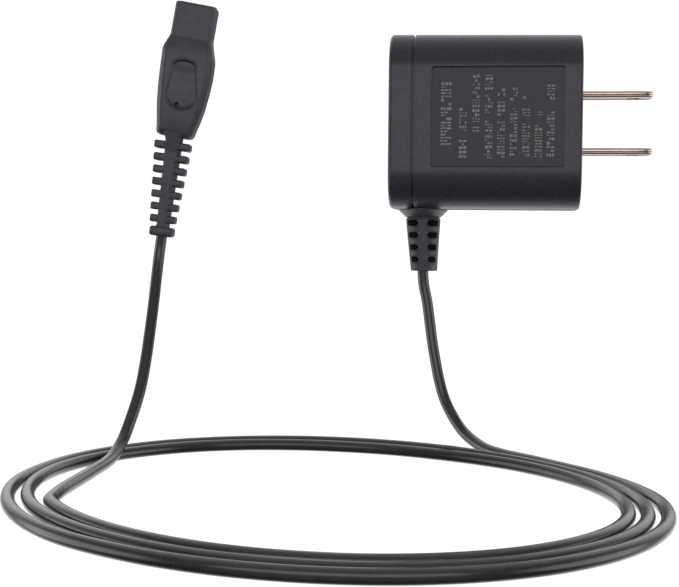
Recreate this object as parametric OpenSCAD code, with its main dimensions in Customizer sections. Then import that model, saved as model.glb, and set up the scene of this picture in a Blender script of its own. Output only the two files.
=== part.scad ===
// Mains charger of a cordless trimmer: a plug adapter with two fixed blades, a
// thin round cord that lies in an open coil, and the small two-hole connector
// that feeds the trimmer. Millimetres.
//
// Frame: the origin is the centre of the plug face, between the two blades.
// +X is the way the blades point, +Z is up, -Y is the labelled front.
// The adapter is held by its blades; the coil lies on a surface below it.

/* [Housing] */
// Length of the adapter from the plug face to the cap's outer face
housing_len = 42.4; // [42:0.1:48]
// Height of the adapter
housing_h = 39.2; // [38.6:0.1:46]
// Depth of the adapter, front to back
housing_d = 26.6; // [26:0.1:32]
// Radius of the four long edges
edge_r = 8.5; // [7.5:0.1:9.5]
// Wall thickness
wall = 2.0; // [1.6:0.1:2.4]
// Length of the end cap up to the seam
cap_len = 5.2; // [5:0.1:6]
// Width and depth of the seam groove
groove = 0.45; // [0.3:0.05:0.6]

/* [Label panel] */
// Length of the recessed panel on the front
panel_len = 29.0; // [20:0.1:31]
// Height of the recessed panel
panel_h = 21.8; // [14:0.1:23]
// Depth of the recess
panel_depth = 0.25; // [0.1:0.05:0.5]
// Distance from the plug face to the panel
panel_x = 3.9; // [3:0.1:5]
// Height of the panel's centre above the blades' axis
panel_z = 0.5; // [0:0.1:1]

/* [Plug] */
// Distance between the blades' centres
blade_pitch = 12.7; // [12.7]
// Width of a blade
blade_w = 6.35; // [6.35]
// Thickness of a blade
blade_t = 1.5; // [1.5]
// Length of a blade outside the plug face
blade_len = 16.2; // [15.5:0.1:18]
// Radius of the hole near a blade's tip
blade_hole_r = 1.6; // [1.4:0.1:1.8]

/* [Cord] */
// Diameter of the cord
cord_d = 2.5; // [2:0.1:3]
// Mean radius of the open coil
coil_r = 54.5; // [50:0.5:60]
// How much the radius grows in one turn
coil_growth = 3.3; // [3:0.1:4]
// How oval the coil lies
coil_oval = 4; // [0:0.5:5]

/* [Adapter strain relief] */
// Distance from the seam-side cap's outer face to the relief's axis
relief_x = 7.4; // [7.2:0.1:8]
// Radius of the collar against the housing
collar_r = 5.7; // [5:0.1:6]
// Height of the collar
collar_h = 2.0; // [1.5:0.1:3]
// Radius of the relief below the collar
relief_r1 = 4.0; // [3.6:0.05:4.2]
// Radius of the relief at its end
relief_r2 = 3.0; // [2.6:0.02:3.2]
// Length of the relief below the collar
relief_len = 12.1; // [12:0.1:16]

/* [Connector] */
// Turn of the connector about the vertical, in degrees
conn_turn = 6.5; // [0:0.5:12]
// Lean of the connector's body, in degrees
conn_tilt = 10; // [0:1:15]
// Lean of its strain relief, in degrees
tail_tilt = 7.5; // [0:0.25:12]
// Length of the connector's body up to the shoulder
body_len = 19.6; // [18:0.1:22]
// Depth of the connector's body, front to back
body_d = 8.0; // [7.6:0.1:9]
// Width of the nose
nose_w = 9.5; // [9:0.1:10]
// Depth of the nose, front to back
nose_d = 6.2; // [6:0.1:7]
// Distance from the body's lower end to the nose's mating face
nose_top = 30.1; // [29:0.1:31]
// Distance between the two socket holes
socket_pitch = 4.4; // [4.2:0.1:4.6]
// Radius of a socket's bore
socket_r = 0.8; // [0.7:0.05:0.85]

/* [Hidden] */
$fn = 64;

eps = 0.01;
seam_x = -housing_len + cap_len;
cavity_x0 = -housing_len + wall;
inner_r = edge_r - wall;
lip_t = 1.0;
lip_len = 3.0;
lip_root = 2.0;
lip_gap = 0.05;
hole_gap = 0.05;

relief_ax = -housing_len + relief_x;
relief_end_z = -housing_h / 2 - collar_h - relief_len;
neck_r = 3.1;
flange_r = 4.3;
flange_h = 2.2;
flange_gap_w = 12;
flange_top_z = -housing_h / 2 + wall + flange_h + lip_gap;

// Circuit board: a plate parallel to the front, its parts facing the front
board_y = 5.0;
board_t = 1.2;
board_x0 = -37.0;
board_x1 = -7.0;
board_z = 16.2;

blade_root = 9.0;
carrier_x = 6.2;
carrier_y = 5;
carrier_z = 9.6;
blade_hole_x = 11.9;
blade_tip_cut = 1.6;

// Transformer, wound along X
core_x0 = -30;
core_x1 = -14;
core_y = -3.0;
core_t = 5.0;
core_z = 7.25;
core_leg = 3.0;
core_mid = 2.0;
core_side = 2.05;

// Connector frame: the centre of the body's lower end
conn_at = [-91.0, -10.4, -3.8];
shoulder_z = 22;
tenon_w = 8;
tenon_d = 5;
tenon_z = 13;
tenon_gap = 0.05;
tail_len = 22.7;
rib_count = 7;
rib_pitch = 2.78;
rib_first = 2.05;
rib_t = 1.75;
flange_t = 2.15;
sleeve_r = 1.1;
sleeve_len = 7;
sleeve_top = nose_top;
sleeve_base = 2;
crimp_z = 12.6;

// Cord route. The coil lies on a level surface; the cord comes down to it from
// the connector on the left and from the adapter at the back.
cord_r = cord_d / 2;
floor_z = -73.5;
coil_z = floor_z + cord_r;
coil_at = [-48.9, -68.2];
coil_phase = 6.5;
coil_mid = 646.5;
coil_start = 198.5;
coil_end = 1116.5;
// Sideways drift of the turns, which don't lie quite evenly: [angle, outward shift]
coil_drift = [
    [200, 0], [240, -0.3], [275, -1.1], [300, -1], [340, 0], [380, 0.3], [400, 0.3],
    [430, -1], [455, -1.2], [485, 0.5], [505, 1], [525, 0.8], [545, 0.2], [600, 0.2],
    [660, 0], [720, 0], [750, -0.2], [790, 0.8], [850, 1.7], [868, 1.2], [884, 0.2],
    [910, 0.3], [925, 0.7], [945, 1.4], [960, 1], [1000, 0.3], [1050, 0], [1080, 0.1],
    [1095, -0.6], [1105, -0.9], [1116, -1]
];
tail_dir = [-sin(tail_tilt) * cos(conn_turn), -sin(tail_tilt) * sin(conn_turn),
    -cos(tail_tilt)];
tail_end = conn_at + tail_len * tail_dir;

function coil_radius(a) =
    coil_r + coil_growth * (a - coil_mid) / 360 - coil_oval * sin(2 * (a - coil_phase))
    + lookup(a, coil_drift);
function coil_point(a) = [
    coil_at[0] + coil_radius(a) * cos(a),
    coil_at[1] + coil_radius(a) * sin(a),
    coil_z
];

adapter_route = [
    [relief_ax, 0, relief_end_z],
    [-34.7, 0, -37], [-33.9, -0.3, -40.8], [-33.2, -0.8, -45.5], [-32.5, -1.6, -50.2],
    [-31.7, -2.3, -54.5], [-30.8, -3.2, -58.6], [-29.4, -4.5, -63], [-27.1, -6.8, -67],
    [-25, -9.8, -69.4], [-22.7, -13.2, -70.9], [-20, -17.3, -71.9],
    [-16.9, -21.3, coil_z], [-12.8, -26.4, coil_z], [-8.8, -31.1, coil_z],
    coil_point(coil_end)
];
connector_route = [
    tail_end, tail_end + 4 * tail_dir,
    [-94.7, -12.6, -36.2], [-94.6, -14.9, -40.6], [-94.5, -18.6, -47.1],
    [-94.4, -22.6, -53.4], [-94.5, -27, -59.5], [-95.2, -31.4, -65], [-95.9, -34.4, -68.6],
    [-96.2, -37, -70.2], [-96.3, -39.6, -71.2], [-96.4, -42.7, -71.9],
    [-96.5, -47.8, coil_z], [-96.4, -54.7, coil_z], [-96.3, -60.7, coil_z],
    [-96.3, -66.5, coil_z], [-96.3, -71.6, coil_z], [-96.1, -76.3, coil_z],
    [-95.7, -80.4, coil_z], coil_point(coil_start)
];

// ---------- helpers ----------

// Rectangle with rounded corners, w along X and h along Y
module rounded_rect(w, h, r) {
    square([w - 2 * r, h], center = true);
    square([w, h - 2 * r], center = true);
    for (sx = [-1, 1], sy = [-1, 1])
        translate([sx * (w / 2 - r), sy * (h / 2 - r)]) circle(r);
}

// The adapter's section, drawn inward by inset, swept from x0 to x1
module section(x0, x1, inset = 0) {
    translate([x0, 0, 0]) rotate([90, 0, 90])
        linear_extrude(x1 - x0)
            rounded_rect(housing_d - 2 * inset, housing_h - 2 * inset, edge_r - inset);
}

// Box from one corner to the other
module block(low, high) {
    translate(low) cube(high - low);
}

// Rod standing on the board, towards the front
module stand(x, z, r, h) {
    translate([x, board_y, z]) rotate([90, 0, 0]) cylinder(r = r, h = h);
}

module relief_notch() {
    translate([relief_ax, 0, -housing_h / 2 - 1])
        cylinder(r = neck_r + lip_gap, h = wall + 2);
}

// Tube swept along a route, eight-sided, one ring at each point
function unit(v) = v / norm(v);
function heading(p, i) =
    unit(p[min(i + 1, len(p) - 1)] - p[max(i - 1, 0)]);
function ring(c, t, r, sides) =
    let (side = unit(cross(t, [0.3, 1, 0])), top = cross(side, t))
    [for (k = [0:sides - 1])
        c + r * (cos(360 * k / sides) * side + sin(360 * k / sides) * top)];
module swept(p, r, sides = 8) {
    n = len(p);
    points = [for (i = [0:n - 1]) each ring(p[i], heading(p, i), r, sides)];
    walls = [for (i = [0:n - 2], k = [0:sides - 1])
        let (a = i * sides, b = a + sides, m = (k + 1) % sides)
        [a + k, b + k, b + m, a + m]];
    first = [for (k = [0:sides - 1]) k];
    last = [for (k = [sides - 1:-1:0]) (n - 1) * sides + k];
    polyhedron(points, concat(walls, [first, last]), convexity = 6);
}

// ---------- adapter ----------

module housing_shell() {
    rail_x0 = -30;
    rail_w = 0.9;
    rail_z = 15.8;
    color([0.13, 0.13, 0.14]) {
        difference() {
            union() {
                section(seam_x + groove, 0);
                section(seam_x, seam_x + groove + eps, groove);
            }
            section(seam_x - 1, -wall - 0.2, wall);
            for (s = [-1, 1])
                block([-wall - 1, -blade_w / 2 - hole_gap,
                       s * blade_pitch / 2 - blade_t / 2 - hole_gap],
                      [1, blade_w / 2 + hole_gap,
                       s * blade_pitch / 2 + blade_t / 2 + hole_gap]);
            block([-panel_x - panel_len, -housing_d / 2 - 1, -panel_h / 2 + panel_z],
                  [-panel_x, -housing_d / 2 + panel_depth, panel_h / 2 + panel_z]);
            relief_notch();
        }
        // Rails that hold the circuit board's long edges
        intersection() {
            section(rail_x0, -wall - 0.1, wall - 0.3);
            for (s = [-1, 1], y = [board_y - rail_w - 0.1, board_y + board_t + 0.1])
                block([rail_x0, y, s > 0 ? rail_z : -housing_h / 2],
                      [-wall, y + rail_w, s > 0 ? housing_h / 2 : -rail_z]);
        }
    }
}

module end_cap() {
    color([0.13, 0.13, 0.14])
    difference() {
        union() {
            difference() {
                section(-housing_len, seam_x);
                section(cavity_x0, seam_x + 1, wall);
            }
            // Spigot that locates the cap in the shell
            difference() {
                union() {
                    section(seam_x - lip_root, seam_x, wall - eps);
                    section(seam_x - eps, seam_x + lip_len, wall + lip_gap);
                }
                section(seam_x - lip_root - 1, seam_x + lip_len + 1, wall + lip_t);
            }
        }
        relief_notch();
        // The spigot is cut away around the strain relief's flange
        for (from = [[cavity_x0, wall], [seam_x + eps, wall - 1]])
            block([from[0], -flange_gap_w / 2, -housing_h / 2 + from[1]],
                  [seam_x + lip_len + 1, flange_gap_w / 2, -housing_h / 2 + wall + 3]);
    }
}

module blade(s) {
    color([0.78, 0.72, 0.69])
    translate([0, 0, s * blade_pitch / 2 - blade_t / 2])
    difference() {
        linear_extrude(blade_t) {
            difference() {
                translate([-blade_root, -blade_w / 2])
                    square([blade_root + blade_len, blade_w]);
                for (e = [-1, 1])
                    translate([blade_len, e * blade_w / 2]) rotate(45)
                        square(blade_tip_cut, center = true);
            }
        }
        translate([blade_hole_x, 0, -1]) cylinder(r = blade_hole_r, h = blade_t + 2);
    }
}

module blade_upper() { blade(1); }
module blade_lower() { blade(-1); }

module blade_carrier() {
    color([0.85, 0.84, 0.8])
    difference() {
        block([-carrier_x, -carrier_y, -carrier_z], [-wall - 0.2, carrier_y, carrier_z]);
        for (s = [-1, 1])
            block([-carrier_x - 1, -blade_w / 2, s * blade_pitch / 2 - blade_t / 2],
                  [0, blade_w / 2, s * blade_pitch / 2 + blade_t / 2]);
    }
}

module contact_springs() {
    spring_t = 0.4;
    spring_half = 1.2;
    color([0.8, 0.6, 0.35])
    for (s = [-1, 1])
        translate([0, 0, s * blade_pitch / 2]) {
            block([-blade_root - spring_t, -2, -spring_half], [-blade_root, board_y, spring_half]);
            block([-blade_root - 3, board_y - spring_t, -spring_half],
                  [-blade_root, board_y, spring_half]);
        }
}

module circuit_board() {
    color([0.16, 0.36, 0.2])
        block([board_x0, board_y, -board_z], [board_x1, board_y + board_t, board_z]);
}

module transformer_core() {
    color([0.2, 0.2, 0.21])
    difference() {
        block([core_x0, core_y - core_t / 2, -core_z], [core_x1, core_y + core_t / 2, core_z]);
        for (s = [-1, 1])
            translate([0, 0, s * (core_mid + core_z - core_side) / 2])
                block([core_x0 + core_leg, core_y - core_t, (core_mid - core_z + core_side) / 2],
                      [core_x1 - core_leg, core_y + core_t, (core_z - core_side - core_mid) / 2]);
    }
}

module transformer_bobbin() {
    flange = 0.8;
    sleeve = 0.6;
    flange_y = 6.0;
    window_z = core_z - core_side - 0.05;
    rail_y0 = core_y + core_t / 2 + 0.1;
    rail_y1 = 3.4;
    color([0.12, 0.12, 0.13])
    difference() {
        union() {
            for (side = [0, 1]) {
                x = side == 0 ? core_x0 + core_leg + 0.05 : core_x1 - core_leg - 0.05 - flange;
                block([x, core_y - flange_y, -window_z], [x + flange, rail_y1, window_z]);
                rail = side == 0 ? core_x0 - 1 : x;
                block([rail, rail_y0, -core_z], [rail + core_leg + 1.05 + flange, rail_y1, core_z]);
                for (k = [-1:1])
                    translate([side == 0 ? core_x0 + 0.5 : core_x1 - 0.5, 0, k * 5])
                        rotate([-90, 0, 0])
                            translate([0, 0, rail_y1 - eps])
                                cylinder(r = 0.35, h = board_y - rail_y1 + eps);
            }
            block([core_x0 + core_leg + 0.1, core_y - core_t / 2 - sleeve, -core_mid - sleeve],
                  [core_x1 - core_leg - 0.1, core_y + core_t / 2 + sleeve, core_mid + sleeve]);
        }
        block([core_x0, core_y - core_t / 2 - 0.05, -core_mid - 0.05],
              [core_x1, core_y + core_t / 2 + 0.05, core_mid + 0.05]);
    }
}

module transformer_winding() {
    x0 = core_x0 + core_leg + 0.9;
    x1 = core_x1 - core_leg - 0.9;
    color([0.9, 0.75, 0.25])
    translate([x0, core_y, 0]) rotate([90, 0, 90])
    linear_extrude(x1 - x0)
    difference() {
        rounded_rect(core_t + 5.6, 2 * (core_z - core_side) - 0.2, 1.5);
        square([core_t + 1.3, 2 * core_mid + 1.3], center = true);
    }
}

module capacitor(x, z, r, h) {
    difference() {
        stand(x, z, r, h);
        // Vent cross in the can's top
        translate([x, board_y - h, z]) for (a = [0, 90]) rotate([0, a, 0])
            cube([r, 0.3, 0.3], center = true);
    }
}

module input_capacitors() {
    color([0.14, 0.17, 0.25])
    for (x = [-12.5, -21.5]) capacitor(x, 11.6, 4, 12);
}

module output_capacitor() {
    color([0.2, 0.2, 0.22]) capacitor(-30.4, 11.6, 3.15, 9);
}

module bridge_rectifier() {
    color([0.1, 0.1, 0.1])
    union() {
        block([-22.4, board_y - 2.6, -15.6], [-17.6, board_y - 0.4, -9.6]);
        for (sx = [-1, 1], z = [-14, -11.2])
            translate([-20 + sx * 2.7, board_y, z])
                block([-0.4, -1.2, -0.4], [0.4, 0, 0.4]);
    }
}

module fusible_resistor() {
    color([0.35, 0.55, 0.45]) {
        translate([-10.8, board_y - 1.9, -3.6]) cylinder(r = 1.5, h = 7.2);
        for (s = [-1, 1])
            translate([-10.8, board_y - 1.9, s * 4.2]) {
                translate([0, 0, -0.61]) cylinder(r = 0.3, h = 1.22);
                translate([0, 0, s * 0.3]) rotate([-90, 0, 0])
                    cylinder(r = 0.3, h = 1.9);
            }
    }
}

module input_choke() {
    color([0.25, 0.25, 0.25])
    difference() {
        stand(-13.4, -12.9, 2.9, 7);
        translate([-13.4, board_y - 6, -12.9]) rotate([-90, 0, 0])
            difference() {
                cylinder(r = 4, h = 5);
                translate([0, 0, -1]) cylinder(r = 2.2, h = 7);
            }
    }
}

module controller_ic() {
    ic_z = -12.0;
    color([0.08, 0.08, 0.08]) {
        block([-31.2, board_y - 3.6, ic_z - 2.9], [-25, board_y - 0.5, ic_z + 2.9]);
        for (x = [-30.2, -28.1, -26], s = [-1, 1])
            block([x - 0.3, board_y - 2, ic_z + s * 2.9 - 0.4],
                  [x + 0.3, board_y, ic_z + s * 2.9 + 0.4]);
    }
}

module safety_capacitor() {
    color([0.2, 0.45, 0.75]) {
        translate([-33.9, board_y - 4.4, -8.4]) rotate([0, 90, 0])
            cylinder(r = 3.1, h = 2.4);
        for (s = [-1, 1])
            translate([-32.7, board_y, -8.4 + s * 2]) rotate([90, 0, 0])
                cylinder(r = 0.3, h = 3);
    }
}

module optocoupler() {
    color([0.93, 0.93, 0.9])
    union() {
        block([-36.2, board_y - 3.9, -2.8], [-32.6, board_y - 0.5, 1.8]);
        for (sx = [-1, 1], z = [-1.8, 0.8])
            translate([-34.4 + sx * 2, board_y, z])
                block([-0.35, -2, -0.3], [0.35, 0, 0.3]);
    }
}

module output_diode() {
    color([0.12, 0.12, 0.12]) {
        translate([-34.6, board_y - 1.8, 4.4]) cylinder(r = 1.3, h = 5);
        for (z = [4.1, 9.7])
            translate([-34.6, board_y - 1.8, z]) {
                translate([0, 0, -0.35]) cylinder(r = 0.35, h = 0.7);
                rotate([-90, 0, 0]) cylinder(r = 0.35, h = 1.8);
            }
    }
}

module chip_resistors() {
    color([0.15, 0.15, 0.17])
    for (i = [0:3], j = [0:1])
        translate([-33 + i * 6, board_y + board_t, -11 + j * 9])
            block([-1, 0, -0.6], [1, 0.5, 0.6]);
}

module cord_inner_end() {
    color([0.16, 0.16, 0.17])
    translate([relief_ax, 0, flange_top_z]) cylinder(r = cord_r, h = 3);
}

module output_leads() {
    start_z = flange_top_z + 3;
    lead_r = 0.55;
    for (s = [-1, 1])
        color(s > 0 ? [0.7, 0.1, 0.1] : [0.1, 0.1, 0.1])
        translate([relief_ax + s * 0.65 - 0.4, 0, 0]) {
            translate([0, 0, start_z]) cylinder(r = lead_r, h = 3);
            translate([0, 0, start_z + 3]) sphere(lead_r);
            translate([0, 0, start_z + 3]) rotate([-90, 0, 0])
                cylinder(r = lead_r, h = board_y);
        }
}

module adapter_strain_relief() {
    rows = 4;
    row_pitch = 2.78;
    row_first = 1.1;
    slot_h = 1.2;
    rib_half = 1.03;
    core_half = 1.7;
    color([0.15, 0.15, 0.16])
    translate([relief_ax, 0, -housing_h / 2])
    difference() {
        union() {
            translate([0, 0, -collar_h]) cylinder(r1 = relief_r1, r2 = collar_r, h = collar_h);
            translate([0, 0, -collar_h - relief_len])
                cylinder(r1 = relief_r2, r2 = relief_r1, h = relief_len);
            translate([0, 0, -eps]) cylinder(r = neck_r, h = wall + lip_gap + 2 * eps);
            translate([0, 0, wall + lip_gap]) cylinder(r = flange_r, h = flange_h);
        }
        for (i = [0:rows - 1], sx = [-1, 1], sy = [-1, 1])
            translate([sx * (rib_half + slot_h / 2), sy * core_half,
                       -collar_h - row_first - i * row_pitch])
                rotate([sy > 0 ? -90 : 90, 0, 0]) {
                    cylinder(r = slot_h / 2, h = 4);
                    translate([sx > 0 ? 0 : -4, -slot_h / 2, 0]) cube([4, slot_h, 4]);
                }
    }
}

// ---------- cord ----------

module cord_drop_adapter() {
    color([0.2, 0.2, 0.21]) swept(adapter_route, cord_r);
}

module cord_drop_connector() {
    color([0.2, 0.2, 0.21]) swept(connector_route, cord_r);
}

// The coil's outer shape: a flat oval ring that holds every turn
function radii_at(a) = [
    for (turn = [a:360:coil_end]) if (turn >= coil_start) coil_radius(turn)
];
module cord_coil() {
    step = 6;
    outer = [for (a = [0:step:359]) (max(radii_at(a)) + cord_r) * [cos(a), sin(a)]];
    inner = [for (a = [0:step:359]) (min(radii_at(a)) - cord_r) * [cos(a), sin(a)]];
    color([0.2, 0.2, 0.21])
    translate([coil_at[0], coil_at[1], floor_z])
    linear_extrude(cord_d)
    difference() {
        polygon(outer);
        polygon(inner);
    }
}

// ---------- connector ----------

module at_connector(tilt = conn_tilt) {
    translate(conn_at) rotate([0, tilt, conn_turn]) children();
}

// Turns a drawing of (across, along) into a slab of depth d about the middle
module slab(d) {
    rotate([90, 0, 0]) linear_extrude(d, center = true) children();
}

module connector_body() {
    bevel = 2.9;
    shoulder_bevel = 2.0;
    recess_depth = 0.3;
    recess_low = [0, 9.3];
    recess_low_r = 3.8;
    recess_high = [0, 13.6];
    recess_high_r = 3.2;
    gate_r = 0.52;
    half = [[4.1, 0], [4.25, 2], [4.8, 3.9], [5.3, 6.8], [5.7, 10.7], [5.95, 14.6],
            [5.98, 17.4], [5.8, 19.0], [5.5, body_len], [5.0, shoulder_z]];
    outline = concat(
        [for (p = half) p],
        [for (i = [len(half) - 1:-1:0]) [-half[i][0], half[i][1]]]);
    color([0.24, 0.24, 0.26])
    at_connector()
    difference() {
        slab(body_d) polygon(outline);
        // Bevels along the four long edges
        for (sx = [-1, 1], sy = [-1, 1])
            translate([sx * 6.3, sy * (body_d / 2 + 0.6), shoulder_z / 2])
                rotate([0, 0, 45]) cube([bevel, bevel, 30], center = true);
        // Shoulder bevels down to the nose
        for (sy = [-1, 1])
            translate([0, sy * (body_d / 2 + 0.55), shoulder_z])
                rotate([45, 0, 0]) cube([20, shoulder_bevel, shoulder_bevel], center = true);
        // Thumb recess, a shallow oval with rounded ends
        translate([0.2, -body_d / 2, 0]) slab(2 * recess_depth) {
            translate(recess_low) circle(recess_low_r);
            translate(recess_high) circle(recess_high_r);
            polygon([[-recess_low_r, recess_low[1]], [recess_low_r, recess_low[1]],
                     [recess_high_r, recess_high[1]], [-recess_high_r, recess_high[1]]]);
        }
        // Moulding gate mark on the recess's lower rim
        translate([-0.6, -body_d / 2, 6.0]) rotate([90, 0, 0])
            cylinder(r = gate_r, h = 1.6, center = true);
        // Pocket for the nose's rear and channel for the wires
        block([-tenon_w / 2 - tenon_gap, -tenon_d / 2 - tenon_gap, tenon_z - tenon_gap],
              [tenon_w / 2 + tenon_gap, tenon_d / 2 + tenon_gap, shoulder_z + 1]);
        slab(1.9) polygon([[-1.3, -1], [1.3, -1], [3.4, 13], [-3.4, 13]]);
    }
}

module connector_nose() {
    chamfer = 0.9;
    color([0.2, 0.2, 0.22])
    at_connector()
    difference() {
        union() {
            translate([0, 0, shoulder_z])
                linear_extrude(nose_top - shoulder_z - chamfer)
                    rounded_rect(nose_w, nose_d, 1.4);
            translate([0, 0, nose_top - chamfer - eps])
                linear_extrude(chamfer + eps)
                    rounded_rect(nose_w - chamfer, nose_d - chamfer, 1.2);
            block([-tenon_w / 2, -tenon_d / 2, tenon_z],
                  [tenon_w / 2, tenon_d / 2, shoulder_z + eps]);
        }
        for (s = [-1, 1])
            translate([s * socket_pitch / 2, 0, 12])
                cylinder(r = sleeve_r + 0.05, h = nose_top);
    }
}

module socket_contact(s) {
    color([0.8, 0.66, 0.35])
    at_connector()
    translate([s * socket_pitch / 2, 0, 0])
    difference() {
        union() {
            translate([0, 0, sleeve_top - sleeve_len - sleeve_base])
                cylinder(r = sleeve_r, h = sleeve_len + sleeve_base);
            translate([0, 0, crimp_z])
                cylinder(r = 0.85, h = sleeve_top - sleeve_len - sleeve_base - crimp_z + eps);
        }
        translate([0, 0, sleeve_top - sleeve_len]) cylinder(r = socket_r, h = sleeve_len + 1);
    }
}

module socket_contact_left() { socket_contact(-1); }
module socket_contact_right() { socket_contact(1); }

module connector_leads() {
    lead_r = 0.5;
    lead_x = 0.62;
    lead_len = 12.4;
    fan = atan((socket_pitch / 2 - lead_x) / crimp_z);
    for (s = [-1, 1])
        color(s > 0 ? [0.7, 0.1, 0.1] : [0.1, 0.1, 0.1])
        at_connector()
        translate([s * lead_x, 0, 0.05]) rotate([0, s * fan, 0])
            cylinder(r = lead_r, h = lead_len);
}

module connector_strain_relief() {
    spine_half = 1.5;
    spine_end_half = 1.0;
    core_r = 1.9;
    web_end_d = 4.6;
    color([0.22, 0.22, 0.24])
    at_connector(tail_tilt) {
        // Ribs, narrower towards the cord
        for (i = [0:rib_count - 1])
            translate([0, 0, -rib_first - i * rib_pitch - rib_t / 2])
                linear_extrude(rib_t)
                    rounded_rect(8.2 - 0.383 * i, 6.4 - 0.25 * i, 1.6);
        // End flange
        translate([0, 0, -tail_len])
            linear_extrude(flange_t) rounded_rect(5.4, 4.8, 1.6);
        // Web behind the ribs' front faces, and the round core on the cord
        slab(web_end_d)
            polygon([[-spine_half, -0.6], [spine_half, -0.6],
                     [spine_end_half, -tail_len + 0.5], [-spine_end_half, -tail_len + 0.5]]);
        translate([0, 0, -tail_len + 0.5]) cylinder(r = core_r, h = tail_len - 1.1);
    }
}

housing_shell();
end_cap();
blade_upper();
blade_lower();
blade_carrier();
contact_springs();
circuit_board();
transformer_core();
transformer_bobbin();
transformer_winding();
input_capacitors();
output_capacitor();
bridge_rectifier();
fusible_resistor();
input_choke();
controller_ic();
safety_capacitor();
optocoupler();
output_diode();
chip_resistors();
cord_inner_end();
output_leads();
adapter_strain_relief();
cord_drop_adapter();
cord_coil();
cord_drop_connector();
connector_strain_relief();
connector_body();
connector_nose();
socket_contact_left();
socket_contact_right();
connector_leads();
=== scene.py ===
import math

import bmesh
import bpy
import numpy as np
from mathutils import Matrix, Vector


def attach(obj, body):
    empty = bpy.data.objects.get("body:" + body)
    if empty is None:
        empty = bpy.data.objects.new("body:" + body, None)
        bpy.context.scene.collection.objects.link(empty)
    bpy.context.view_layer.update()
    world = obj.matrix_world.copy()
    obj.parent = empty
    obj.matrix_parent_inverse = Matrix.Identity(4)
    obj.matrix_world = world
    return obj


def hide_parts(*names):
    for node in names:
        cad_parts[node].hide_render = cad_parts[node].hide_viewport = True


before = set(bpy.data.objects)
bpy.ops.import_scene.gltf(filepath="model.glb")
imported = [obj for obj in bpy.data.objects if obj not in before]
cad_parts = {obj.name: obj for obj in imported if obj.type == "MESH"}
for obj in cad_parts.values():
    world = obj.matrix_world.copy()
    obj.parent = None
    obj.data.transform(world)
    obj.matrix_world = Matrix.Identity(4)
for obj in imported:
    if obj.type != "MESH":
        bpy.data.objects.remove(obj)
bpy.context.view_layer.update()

# Lengths below are in millimetres, in the part's own frame, until a mesh is made.
MM = 0.001
scene = bpy.context.scene


# ---------- numbers shared with the part ----------

LEN, HALF_D, BOTTOM = 42.4, 13.3, -19.6
TOP_PLUG, TOP_CAP = 19.25, 19.6      # the shell is a little taller at its cap
EDGE_R = 8.5
PLUG_EDGE_R, CAP_EDGE_R = 0.55, 1.0
SEAM_X, GROOVE, GROOVE_DEPTH = -37.2, 0.45, 0.5
PANEL_X0, PANEL_X1, PANEL_Z0, PANEL_Z1 = -32.9, -3.9, -10.4, 11.4
PANEL_DEPTH, PANEL_CORNER_R, PANEL_WALL = 0.25, 0.7, 0.16
BLADE_Z, BLADE_HALF_W, BLADE_HALF_T = 6.35, 3.175, 0.75
BLADE_HOLE_X, BLADE_HOLE_R = 11.9, 1.6
RELIEF_X = -35.0
NECK_Z, RELIEF_END_Z = -21.4, -33.7  # the relief's cone, below its collar
NECK_R, RELIEF_END_R, RELIEF_LEAN = 4.0, 3.02, 0.3
CONN_AT = np.array([-91.0, -10.4, -3.8])
CONN_TURN, CONN_TILT, TAIL_TILT = 6.5, 10.0, 7.5
CONN_TOP, TAIL_LEN = 30.1, 22.7      # along the connector, from its strain relief's root
SOCKET_X, SOCKET_R = 2.2, 1.12
CORD_R = 1.25
FLOOR_Z = -73.5


def turn_z(deg):
    c, s = math.cos(math.radians(deg)), math.sin(math.radians(deg))
    return np.array([[c, -s, 0], [s, c, 0], [0, 0, 1]])


def turn_y(deg):
    c, s = math.cos(math.radians(deg)), math.sin(math.radians(deg))
    return np.array([[c, 0, s], [0, 1, 0], [-s, 0, c]])


CONN = turn_z(CONN_TURN) @ turn_y(CONN_TILT)
TAIL = turn_z(CONN_TURN) @ turn_y(TAIL_TILT)


# ---------- mesh helpers ----------

SHARP_DEG = 38.0


def make(name, verts, faces, place=None, sharp=SHARP_DEG):
    """A smooth-shaded object from millimetre points; place is (rotation, origin)."""
    points = np.asarray(verts, float)
    if place is not None:
        points = points @ place[0].T + place[1]
    mesh = bpy.data.meshes.new(name)
    mesh.from_pydata((points * MM).tolist(), [], [tuple(f) for f in faces])
    tool = bmesh.new()
    tool.from_mesh(mesh)
    bmesh.ops.remove_doubles(tool, verts=tool.verts, dist=1e-7)
    bmesh.ops.recalc_face_normals(tool, faces=tool.faces)
    tool.to_mesh(mesh)
    tool.free()
    mesh.polygons.foreach_set("use_smooth", [True] * len(mesh.polygons))
    mesh.set_sharp_from_angle(angle=math.radians(sharp))
    obj = bpy.data.objects.new(name, mesh)
    scene.collection.objects.link(obj)
    return obj


def loft(rings, ends=(True, True)):
    """Skins closed rings of equal count, with a cap on each end that is asked for."""
    n = len(rings[0])
    verts = [p for ring in rings for p in ring]
    faces = [
        (i * n + k, i * n + (k + 1) % n, (i + 1) * n + (k + 1) % n, (i + 1) * n + k)
        for i in range(len(rings) - 1)
        for k in range(n)
    ]
    if ends[0]:
        faces.append(tuple(range(n - 1, -1, -1)))
    if ends[1]:
        faces.append(tuple((len(rings) - 1) * n + k for k in range(n)))
    return verts, faces


def join_parts(parts):
    """Several (verts, faces) pairs as one."""
    verts, faces = [], []
    for v, f in parts:
        base = len(verts)
        verts += [tuple(p) for p in v]
        faces += [tuple(base + i for i in face) for face in f]
    return verts, faces


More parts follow.
